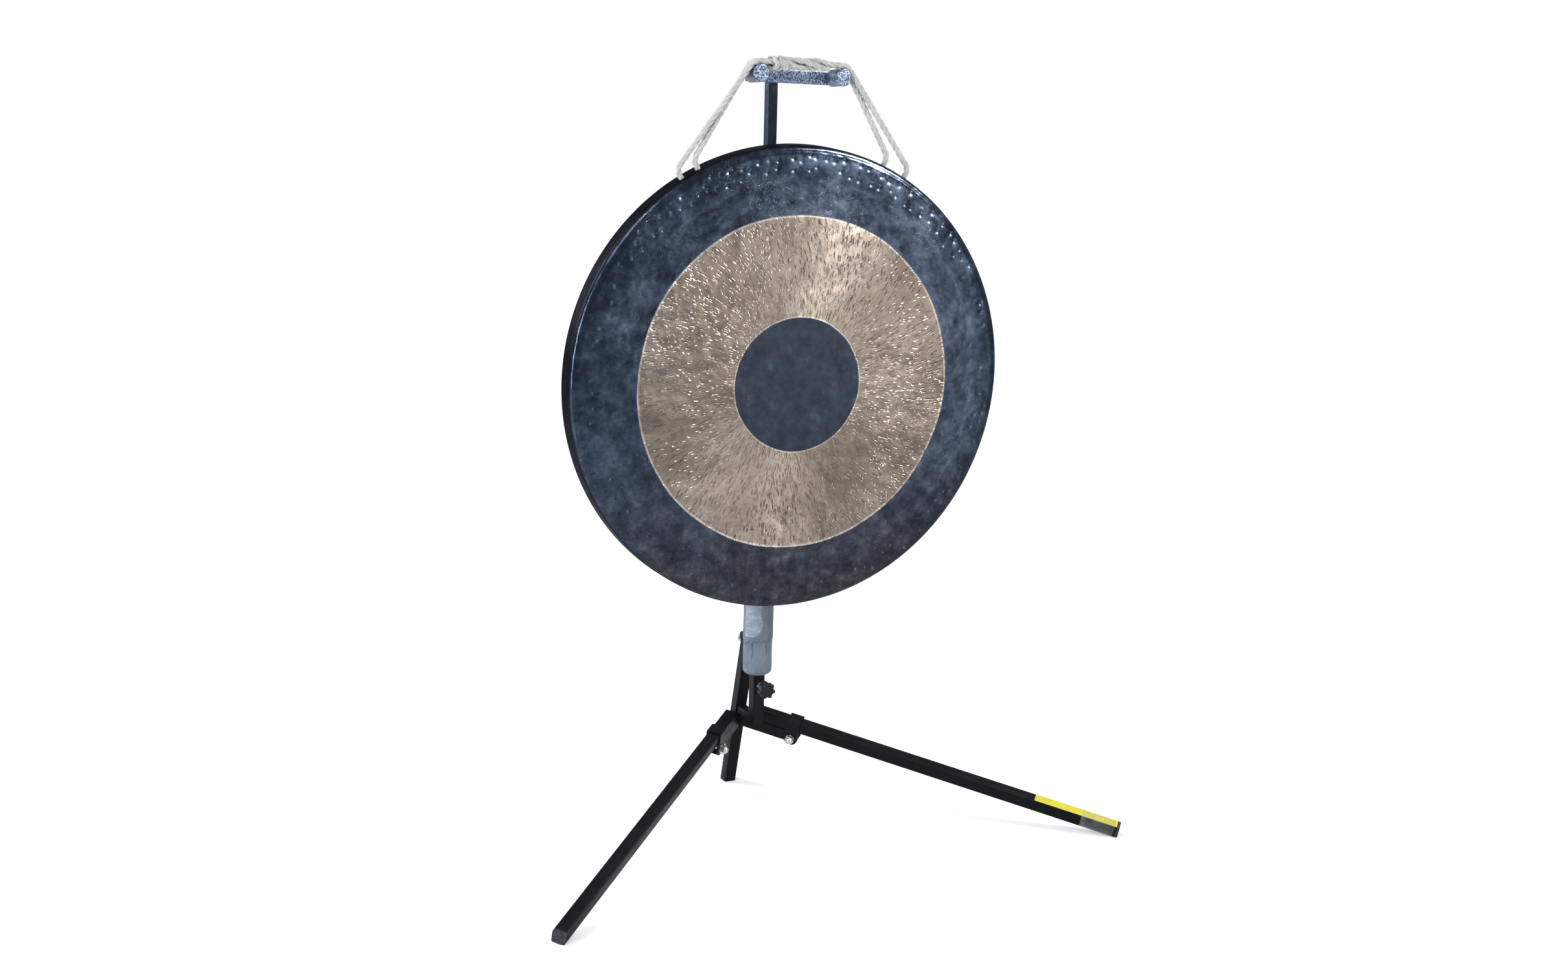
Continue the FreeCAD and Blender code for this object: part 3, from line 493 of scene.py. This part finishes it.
def twisted_rope(name, path, radius, lay=0.047, closed=False, step=0.0024, around=9, phase=0.0):
    """Three strands laid together along a path."""
    pts, length = resample([tuple(p) for p in path], step)
    if closed:
        pts = pts[:-1]
    n = len(pts)
    ahead = np.roll(pts, -1, axis=0)
    behind = np.roll(pts, 1, axis=0)
    tangent = ahead - behind
    if not closed:
        tangent[0] = pts[1] - pts[0]
        tangent[-1] = pts[-1] - pts[-2]
    tangent /= np.linalg.norm(tangent, axis=1)[:, None]
    normal = np.zeros_like(pts)
    seed = np.array([0.0, 1.0, 0.0])
    if abs(tangent[0] @ seed) > 0.9:
        seed = np.array([1.0, 0.0, 0.0])
    first = seed - tangent[0] * (seed @ tangent[0])
    normal[0] = first / np.linalg.norm(first)
    for i in range(1, n):
        v = normal[i - 1] - tangent[i] * (normal[i - 1] @ tangent[i])
        normal[i] = v / np.linalg.norm(v)
    binormal = np.cross(tangent, normal)
    turns = length / lay
    drift = 0.0
    if closed:
        v = normal[-1] - tangent[0] * (normal[-1] @ tangent[0])
        drift = math.atan2(v @ binormal[0], v @ normal[0])
        turns = round((length / lay) * 3) / 3.0
    strand = radius * 0.63
    offset = radius * 0.39
    verts, faces = [], []
    for k in range(3):
        base = len(verts)
        for i in range(n):
            s = i / (n if closed else n - 1)
            a = 2 * math.pi * (k / 3 + turns * s) + phase - drift * s
            out = math.cos(a) * normal[i] + math.sin(a) * binormal[i]
            swell = 1.0 + 0.05 * math.sin(37.0 * s * turns + k)
            centre = pts[i] + out * offset
            side = np.cross(tangent[i], out)
            for j in range(around):
                b = 2 * math.pi * j / around
                verts.append(centre + (math.cos(b) * out + math.sin(b) * side) * strand * swell)
        rows = n if closed else n - 1
        for i in range(rows):
            nxt = (i + 1) % n
            wrap = closed and i == n - 1
            for j in range(around):
                a0 = base + i * around + j
                a1 = base + i * around + (j + 1) % around
                if wrap:
                    carry = int(round(turns * 3)) % 3
                    other = (k + carry) % 3
                    joined = other * n * around
                    b0 = joined + j
                    b1 = joined + (j + 1) % around
                else:
                    b0 = base + nxt * around + j
                    b1 = base + nxt * around + (j + 1) % around
                faces.append((a0, a1, b1, b0))
        if not closed:
            faces.append(tuple(base + j for j in range(around))[::-1])
            faces.append(tuple(base + (n - 1) * around + j for j in range(around)))
    return mesh_object(name, verts, faces, rope_mat)

# ------------------------------------------------------------------ ropes


ROPE_R = 0.0056
KNOT_R = 0.0052
PEG_X = 0.086
PEG_Z = 1.4665
REACH = 0.0219
TOP = PEG_Z + REACH
ROPE_Y = -0.1125 + SHIFT
STRAND = 0.0060
OVER_X = 0.064                        # where a strand starts over a peg
HOLE_OUT = 0.470                      # a strand goes in through the rim here and turns inside it
HOLE_IN = 0.434
HOLE_AIM = 0.472
BEND_OUT = 0.016
BEND_IN = 0.009
NEAR = {-1: 27.2, 1: 22.7}            # rope holes, degrees from the top, left and right
FAR = {-1: 31.8, 1: 29.1}
TWIST_FROM = -0.046                   # the hank, from left to right
TWIST_TO = 0.060
LIE = math.pi / 2 * 0.6               # how far round the spare strand lies
SPARE_FROM = -0.043
SPARE_LONG = 0.100

GONG_PLACE = (Matrix.Translation((GONG_X, GONG_Y, GONG_Z)) @ Matrix.Rotation(PAN, 4, "Z")
              @ Matrix.Rotation(TILT, 4, "X"))


def rim_point(side, degrees, radius, depth=0.034):
    a = math.radians(degrees)
    return GONG_PLACE @ Vector((side * radius * math.sin(a), depth, radius * math.cos(a)))


def corner_point(side, y, rim):
    """Where a strand's line over the outside of a peg meets the level on top of it."""
    dx = side * rim.x - PEG_X
    dz = rim.z - PEG_Z
    tangent = math.atan2(dz, dx) + math.acos(REACH / math.hypot(dx, dz))
    tx = PEG_X + REACH * math.cos(tangent)
    tz = PEG_Z + REACH * math.sin(tangent)
    slope = (side * rim.x - tx) / (rim.z - tz)
    return Vector((side * (tx + slope * (TOP - tz)), y, TOP))


def twist(x):
    """How far the hank has turned at x, and how full it is there."""
    s = min(max((x - TWIST_FROM) / (TWIST_TO - TWIST_FROM), 0.0), 1.0)
    smooth = s * s * (3 - 2 * s)
    full = math.exp(-((x + 0.012) / 0.026) ** 2)
    return math.pi * smooth, full


def hank_point(which, x):
    """The two strands wind half round each other between the pegs, and a third lies in with them."""
    a, full = twist(x)
    half = math.radians(90 - 30 * full)
    squeeze = 1.0 + 0.14 * full
    middle = Vector((x, ROPE_Y, TOP - 0.0030 * full))
    if which == 2:
        aside = STRAND * math.sin(half)
        reach = math.sqrt(max((2 * STRAND) ** 2 - aside ** 2, 0.0)) - STRAND * math.cos(half)
        angle = a + LIE
    else:
        reach = STRAND * squeeze
        angle = a + LIE + math.pi + (half if which == 0 else -half)
        blend_in = min(1.0, min(x - TWIST_FROM, TWIST_TO - x) / 0.02)
        blend_in = max(0.0, blend_in)
        plain = a + (0.0 if which == 0 else math.pi)
        turn = math.atan2(math.sin(angle - plain), math.cos(angle - plain))
        angle = plain + turn * blend_in
    return middle + Vector((0, math.cos(angle) * reach, math.sin(angle) * reach))


def loop_path():
    """The whole rope as one closed loop: over both pegs and through all four rim holes."""
    rear, front = ROPE_Y + STRAND, ROPE_Y - STRAND

    def over(side, first, second):
        y, degrees = first
        y2, degrees2 = second
        points = [Vector((side * OVER_X, y, TOP)),
                  corner_point(side, y, rim_point(side, degrees, HOLE_AIM)),
                  rim_point(side, degrees, HOLE_OUT),
                  rim_point(side, degrees, HOLE_IN),
                  rim_point(side, degrees2, HOLE_IN),
                  rim_point(side, degrees2, HOLE_OUT),
                  corner_point(side, y2, rim_point(side, degrees2, HOLE_AIM)),
                  Vector((side * OVER_X, y2, TOP))]
        return arc_path(points, [REACH, BEND_OUT, BEND_IN, BEND_IN, BEND_OUT, REACH])

    count = 60
    xs = [TWIST_FROM + (TWIST_TO - TWIST_FROM) * i / count for i in range(count + 1)]
    out = [hank_point(1, x) for x in xs]
    out += over(1, (rear, NEAR[1]), (front, FAR[1]))
    out += [hank_point(0, x) for x in reversed(xs)]
    out += over(-1, (rear, NEAR[-1]), (front, FAR[-1]))
    out.append(out[0])
    return out


rope = twisted_rope("hanging_rope", loop_path(), ROPE_R, closed=True)
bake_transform(rope)
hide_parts("rear_strand", "front_strand", "left_hanging_rope", "right_hanging_rope")


def third_path():
    """The spare end: it lies in with the two strands and stops before the right peg."""
    steps = 60
    return [hank_point(2, SPARE_FROM + SPARE_LONG * i / steps) for i in range(steps + 1)]


def knot_path():
    """Two tight turns round the strands, then a short end that hangs in front of the bar."""
    out = []
    steps = 72
    for i in range(steps + 1):
        s = i / steps
        a = math.pi * 0.55 - 2 * math.pi * 1.9 * s
        x = -0.063 + 0.018 * s + 0.003 * math.sin(2 * a)
        out.append(Vector((x, ROPE_Y + 0.0160 * math.cos(a), TOP - 0.0030 + 0.0085 * math.sin(a))))
    last = out[-1]
    out.append(last + Vector((0.004, -0.003, -0.004)))
    out.append(last + Vector((0.008, -0.005, -0.010)))
    out.append(last + Vector((0.012, -0.004, -0.018)))
    return out


def smooth_path(points):
    """The points read back from a NURBS curve, so that bends are round."""
    curve = bpy.data.curves.new("path", "CURVE")
    curve.dimensions = "3D"
    spline = curve.splines.new("NURBS")
    spline.points.add(len(points) - 1)
    for p, co in zip(spline.points, points):
        p.co = (co.x, co.y, co.z, 1.0)
    spline.order_u = 3
    spline.use_endpoint_u = True
    spline.resolution_u = 4
    obj = bpy.data.objects.new("path", curve)
    scene.collection.objects.link(obj)
    mesh = obj.to_mesh()
    out = [v.co.copy() for v in mesh.vertices]
    obj.to_mesh_clear()
    bpy.data.objects.remove(obj)
    bpy.data.curves.remove(curve)
    return out


third = twisted_rope("spare_end", third_path(), ROPE_R, step=0.0018, phase=0.8)
knot = twisted_rope("knot", smooth_path(knot_path()), KNOT_R, lay=0.040, step=0.0016)
for piece in (third, knot):
    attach(piece, "mast")
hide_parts("rope_lashing")

# ------------------------------------------------------------------ foam sleeve


def build_foam():
    """The sleeve with an outer layer that has torn away below a ragged edge, a crack and a rear slit."""
    z_rows = [FOAM_LOW, 0.2785, 0.2800, 0.2825, 0.2855]
    z_rows += list(np.arange(0.287, 0.440, 0.0013)) + list(np.arange(0.442, 1.184, 0.012))
    z_rows += [1.184, 1.1868, 1.1888, FOAM_HIGH]
    count = 200
    edge = 0.15
    theta = np.linspace(edge, 2 * math.pi - edge, count)      # measured from the rear, the front is pi
    verts, painted_crease_shade = [], []
    for z in z_rows:
        for t in theta:
            cosine, sine = math.cos(t), math.sin(t)
            p = Vector((6 * sine, 6 * cosine, z * 12))
            broad = 0.009 * noise.noise(Vector((7 * sine, 7 * cosine, 3.1)))
            ragged = 0.005 * noise.noise(Vector((31 * sine, 31 * cosine, 8.0)))
            lip = 0.3500 + 0.0055 * sine + broad + ragged
            step = min(max((z - lip) / 0.0022, 0.0), 1.0)
            r = FOAM_R + 0.0011 * step + 0.0005 * noise.noise(p) + 0.0002 * noise.noise(p * 4)
            # Painted shadow just under the torn lip, stronger on one side of the sleeve.
            lip_shadow = math.exp(-((z - lip + 0.0004) / 0.0011) ** 2) * 0.9 * (0.35 + 0.65 * (sine < 0.5))
            low_end = z - FOAM_LOW
            r -= 0.0055 * max(0.0, 1 - low_end / 0.0075) ** 2
            top_end = FOAM_HIGH - z
            r -= 0.0050 * max(0.0, 1 - top_end / 0.006) ** 2
            front = t - math.pi
            jagged = 0.03 * noise.noise(Vector((z * 300, 0, 0)))
            crack_t = -0.20 + 0.05 * math.sin((z - 0.33) * 900) + jagged
            inside = min(max((z - 0.322) / 0.003, 0), 1) * min(max((0.343 - z) / 0.003, 0), 1)
            d = abs(front - crack_t) * FOAM_R
            cut = math.exp(-(d / 0.0011) ** 2) * inside
            fold_t = 0.86 + 0.10 * noise.noise(Vector((z * 60, 1, 0))) - (z - 0.32) * 4.0
            fold_in = min(max((z - 0.310) / 0.006, 0), 1) * min(max((0.350 - z) / 0.006, 0), 1)
            fold = math.exp(-(abs(front - fold_t) * FOAM_R / 0.0010) ** 2) * fold_in
            r -= 0.0014 * cut + 0.0008 * fold
            bite = math.exp(-((front + 0.55) / 0.16) ** 2) * max(0.0, 1 - low_end / 0.008)
            r -= 0.0012 * bite
            verts.append((r * sine, MAST_Y + r * cosine, z))
            # Painted shade: the lip, the crack and the fold are stored here to darken the foam's colour.
            painted_crease_shade.append(min(1.0, lip_shadow + 1.3 * cut + 0.7 * fold))
    rows = len(z_rows)
    faces = []
    for i in range(rows - 1):
        for j in range(count - 1):
            a = i * count + j
            faces.append((a, a + count, a + count + 1, a + 1))
    inner_rows = [(FOAM_LOW, SOCKET_BORE), (SOCKET_TOP, SOCKET_BORE), (SOCKET_TOP, MAST_BORE),
                  (FOAM_HIGH, MAST_BORE)]
    base = len(verts)
    for z, r in inner_rows:
        for t in theta:
            verts.append((r * math.sin(t), MAST_Y + r * math.cos(t), z))
            painted_crease_shade.append(0.0)
    for i in range(3):
        for j in range(count - 1):
            a = base + i * count + j
            faces.append((a, a + 1, a + count + 1, a + count))
    for j in range(count - 1):
        faces.append((j, j + 1, base + j + 1, base + j))
        a, b = (rows - 1) * count + j, base + 3 * count + j
        faces.append((a, b, b + 1, a + 1))
    for j in (0, count - 1):
        loop = [i * count + j for i in range(rows)] + [base + i * count + j for i in (3, 2, 1, 0)]
        faces.append(tuple(loop if j else loop[::-1]))
    obj = mesh_object("foam", verts, faces, foam_mat)
    attribute = obj.data.attributes.new("painted_crease_shade", "FLOAT", "POINT")
    attribute.data.foreach_set("value", np.array(painted_crease_shade, np.float32))
    corners = [(x, MAST_Y + y, z) for z in (0.27, 0.384) for y in (0.0, 0.04) for x in (-0.0177, 0.0177)]
    sides = [(0, 2, 3, 1), (4, 5, 7, 6), (0, 1, 5, 4), (2, 6, 7, 3), (0, 4, 6, 2), (1, 3, 7, 5)]
    window = mesh_object("window", corners, sides, foam_mat)
    cut = obj.modifiers.new("window", "BOOLEAN")
    cut.object = window
    cut.operation = "DIFFERENCE"
    cut.solver = "EXACT"
    bpy.context.view_layer.update()
    baked = bpy.data.meshes.new_from_object(obj.evaluated_get(bpy.context.evaluated_depsgraph_get()))
    obj.modifiers.clear()
    obj.data = baked
    bpy.data.objects.remove(window)
    for poly in baked.polygons:
        poly.use_smooth = True
    sharp = obj.modifiers.new("edges", "EDGE_SPLIT")
    sharp.split_angle = math.radians(40)
    return obj


def build_skin():
    """The glossy strip that is still stuck to the foam's front left, with a ragged right edge."""
    verts, faces = [], []
    rows, cols = 60, 26
    for layer in (0.0, 0.0004):
        for i in range(rows + 1):
            z = PATCH_LOW + PATCH_TALL * i / rows
            wave = 0.16 * noise.noise(Vector((z * 45, 4.0, 0)))
            nick = 0.05 * noise.noise(Vector((z * 190, 7, 0)))
            ragged = 0.22 + wave + nick
            foot = max(0.0, 1 - (z - PATCH_LOW) / 0.016)
            right_t = ragged + 0.55 * foot ** 1.5
            for j in range(cols + 1):
                t = right_t + (1.42 - right_t) * j / cols
                pucker = 0.0004 * noise.noise(Vector((t * 9, z * 160, 2)))
                puff = 0.0005 * math.sin(math.pi * j / cols) + pucker
                r = 0.0310 + layer + puff
                verts.append((-r * math.sin(t), MAST_Y - r * math.cos(t), z))
    per = (rows + 1) * (cols + 1)
    for i in range(rows):
        for j in range(cols):
            a = i * (cols + 1) + j
            faces.append((a, a + cols + 1, a + cols + 2, a + 1))
            a += per
            faces.append((a, a + 1, a + cols + 2, a + cols + 1))
    return mesh_object("foam_torn_skin", verts, faces, skin_mat)


foam_piece = build_foam()
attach(foam_piece, "mast")
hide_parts("foam_sleeve")
skin = build_skin()
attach(skin, "mast")
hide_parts("foam_patch")

# ------------------------------------------------------------------ gong


def gong_profile():
    """Radius and depth of the face, from the middle out to the back edge of the rim."""
    out = []
    for r in np.arange(0.0, 0.380, 0.006):
        out.append((r, 0.004 * (r / 0.324) ** 2 if r < 0.324 else 0.004 + 0.0042 * ((r - 0.324) / 0.061)))
    for r in np.arange(0.384, 0.4385, 0.0020):
        out.append((r, 0.0082 + 0.0068 * ((r - 0.385) / 0.055) ** 1.5 if r > 0.385 else 0.0082))
    for i in range(9):
        a = math.radians(90 * i / 8)
        out.append((RIM_START + RIM_BEND * math.sin(a), 0.0155 + 0.0125 * (1 - math.cos(a))))
    for i in range(1, 9):
        out.append((0.4503 + 0.0016 * i / 8, 0.028 + 0.032 * i / 8))
    return out


def dimple_spots():
    """Two loose rows of hammer marks inside the edge, dense at the top and sparse elsewhere."""
    spots = []
    for radius in (0.4270, 0.4085):
        a = 0.0
        while a < 2 * math.pi:
            a += rng.uniform(0.036, 0.085)
            from_top = abs((a + math.pi) % (2 * math.pi) - math.pi)
            if rng.random() < (0.95 if from_top < 0.95 else 0.42):
                spots.append((a, radius + rng.uniform(-0.0055, 0.0055), rng.uniform(0.0040, 0.0062),
                              rng.uniform(0.0014, 0.0024)))
    return spots


def shallow_dents(count=90):
    """Wide, faint hollows between the bright ring and the edge."""
    return [(rng.uniform(0, 6.28), rng.uniform(0.335, 0.40), rng.uniform(0.010, 0.022),
             rng.uniform(0.0002, 0.0006)) for _ in range(count)]


def build_gong():
    """The dished face with its hammer marks, the rim and a coarser back."""
    profile = gong_profile()
    rows = len(profile)
    turns = 1200
    angle = np.arange(turns) * 2 * math.pi / turns
    r = np.array([p[0] for p in profile])[:, None] * np.ones(turns)
    d = np.array([p[1] for p in profile])[:, None] * np.ones(turns)
    x = r * np.sin(angle)
    z = r * np.cos(angle)
    inside = (r < 0.438)
    dent = np.zeros_like(d)
    for a, radius, size, depth in dimple_spots():
        cx, cz = radius * math.sin(a), radius * math.cos(a)
        dist = np.hypot(x - cx, z - cz) / size
        dent += np.where(dist < 2.2, depth * np.exp(-(dist * 1.25) ** 2 * 1.2), 0.0)
    for a, radius, size, depth in shallow_dents():
        cx, cz = radius * math.sin(a), radius * math.cos(a)
        dist = np.hypot(x - cx, z - cz) / size
        dent += np.where(dist < 2.2, depth * np.exp(-dist ** 2), 0.0)
    d = d + dent * inside
    front = np.stack([x, d, z], axis=2)
    keep = [0] + list(range(6, rows, 6))
    if keep[-1] != rows - 1:
        keep.append(rows - 1)
    rear_rows = []
    for i in keep:
        radius, depth = profile[i]
        steep = min(max((radius - RIM_START) / RIM_BEND, 0.0), 1.0)
        rear_rows.append((max(radius - GONG_SHEET * steep, 0.0), depth + GONG_SHEET * (1.0 - steep)))
    rear_rows[-1] = (profile[-1][0] - GONG_SHEET, profile[-1][1])
    verts = [tuple(v) for v in front.reshape(-1, 3)]
    faces = []
    for i in range(rows - 1):
        for j in range(turns):
            k = (j + 1) % turns
            a, b, c, e = i * turns + j, i * turns + k, (i + 1) * turns + k, (i + 1) * turns + j
            if i == 0:
                faces.append((a, c, e))
            else:
                faces.append((a, b, c, e))
    base = len(verts)
    coarse = 240
    step = turns // coarse
    for radius, depth in rear_rows:
        for j in range(coarse):
            a = 2 * math.pi * j / coarse
            verts.append((radius * math.sin(a), depth, radius * math.cos(a)))
    for i in range(len(rear_rows) - 1):
        for j in range(coarse):
            k = (j + 1) % coarse
            a, b, c, e = (base + i * coarse + j, base + i * coarse + k,
                          base + (i + 1) * coarse + k, base + (i + 1) * coarse + j)
            faces.append((a, e, c) if i == 0 else (a, e, c, b))
    last_front = (rows - 1) * turns
    last_rear = base + (len(rear_rows) - 1) * coarse
    for j in range(coarse):
        k = (j + 1) % coarse
        strip = [last_front + (j * step + s) % turns for s in range(step + 1)]
        faces.append(tuple(strip + [last_rear + k, last_rear + j]))
    obj = mesh_object("gong", verts, faces, gong_mat)
    clean = bmesh.new()
    clean.from_mesh(obj.data)
    bmesh.ops.remove_doubles(clean, verts=clean.verts, dist=0.00002)
    bmesh.ops.recalc_face_normals(clean, faces=clean.faces)
    clean.to_mesh(obj.data)
    clean.free()
    flat = obj.data.uv_layers.new(name="flat")
    co = np.zeros(len(obj.data.vertices) * 3, np.float32)
    obj.data.vertices.foreach_get("co", co)
    co = co.reshape(-1, 3)
    index = np.zeros(len(obj.data.loops), np.int32)
    obj.data.loops.foreach_get("vertex_index", index)
    flat.data.foreach_set("uv", co[index][:, (0, 2)].ravel())
    obj.data.transform(GONG_PLACE)
    return obj


gong = build_gong()
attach(gong, "gong")
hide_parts("gong_disc")

# ------------------------------------------------------------------ stage, light and camera


def area_light(name, place, target, size_x, size_y, power, colour=(1, 1, 1)):
    light = bpy.data.lights.new(name, "AREA")
    light.shape = "RECTANGLE"
    light.size = size_x
    light.size_y = size_y
    light.energy = power
    light.color = colour
    obj = bpy.data.objects.new(name, light)
    scene.collection.objects.link(obj)
    obj.location = place
    aim = (Vector(target) - Vector(place)).to_track_quat("-Z", "Y")
    obj.rotation_euler = aim.to_euler()
    return obj


floor_corners = [(-40, -40, -0.0005), (40, -40, -0.0005), (40, 40, -0.0005), (-40, 40, -0.0005)]
floor = mesh_object("floor", floor_corners, [(0, 1, 2, 3)], floor_material())

world = bpy.data.worlds.new("studio")
scene.world = world
world.use_nodes = True
sky = world.node_tree
shade = sky.nodes["Background"]
shade.inputs[0].default_value = (0.90, 0.95, 1.0, 1.0)
shade.inputs[1].default_value = 0.42
plain = sky.nodes.new("ShaderNodeBackground")
plain.inputs[0].default_value = (1.0, 1.0, 1.0, 1.0)
plain.inputs[1].default_value = 1.0
path = sky.nodes.new("ShaderNodeLightPath")
blend = sky.nodes.new("ShaderNodeMixShader")
sky.links.new(path.outputs["Is Camera Ray"], blend.inputs[0])
sky.links.new(shade.outputs[0], blend.inputs[1])
sky.links.new(plain.outputs[0], blend.inputs[2])
sky.links.new(blend.outputs[0], sky.nodes["World Output"].inputs[0])

area_light("key", (-2.8, -1.6, 3.6), (0, 0, 0.9), 2.6, 1.6, 60)
area_light("rear_left", (-2.6, 2.4, 2.4), (0, 0, 0.8), 1.8, 2.0, 120)
shine = area_light("shine", (1.95, -1.75, 3.1), (0.1, 0, 1.0), 0.7, 1.2, 420, (1.0, 0.97, 0.93))
shine.visible_diffuse = False
top_right = area_light("top_right", (1.95, -1.75, 3.1), (0.1, 0, 1.0), 0.9, 1.4, 45, (1.0, 0.97, 0.93))
top_right.visible_glossy = False
area_light("left_strip", (-3.0, -1.1, 1.15), (0, 0, 0.9), 0.22, 1.5, 60, (0.85, 0.93, 1.0))
area_light("low_front", (1.6, -3.4, 0.5), (0.0, 0.0, 0.7), 1.4, 0.6, 30, (1.0, 0.93, 0.86))

yaw = math.radians(27.107)
pitch = math.radians(11.03)
roll = math.radians(-1.54)
forward = Vector((math.sin(yaw) * math.cos(pitch), math.cos(yaw) * math.cos(pitch), -math.sin(pitch)))
flat = Vector((math.cos(yaw), -math.sin(yaw), 0.0))
dip = forward.cross(flat)
right = math.cos(roll) * flat + math.sin(roll) * dip
down = -math.sin(roll) * flat + math.cos(roll) * dip
camera_data = bpy.data.cameras.new("camera")
camera_data.sensor_width = 36.0
camera_data.lens = 38.26
camera = bpy.data.objects.new("camera", camera_data)
scene.collection.objects.link(camera)
turn = Matrix((right, -down, -forward)).transposed()
eye = Vector((-1.4601, -2.9458 + SHIFT, 1.3027))
camera.matrix_world = Matrix.Translation(eye) @ turn.to_4x4()
scene.camera = camera
scene.view_settings.view_transform = "Standard"
scene.view_settings.look = "None"
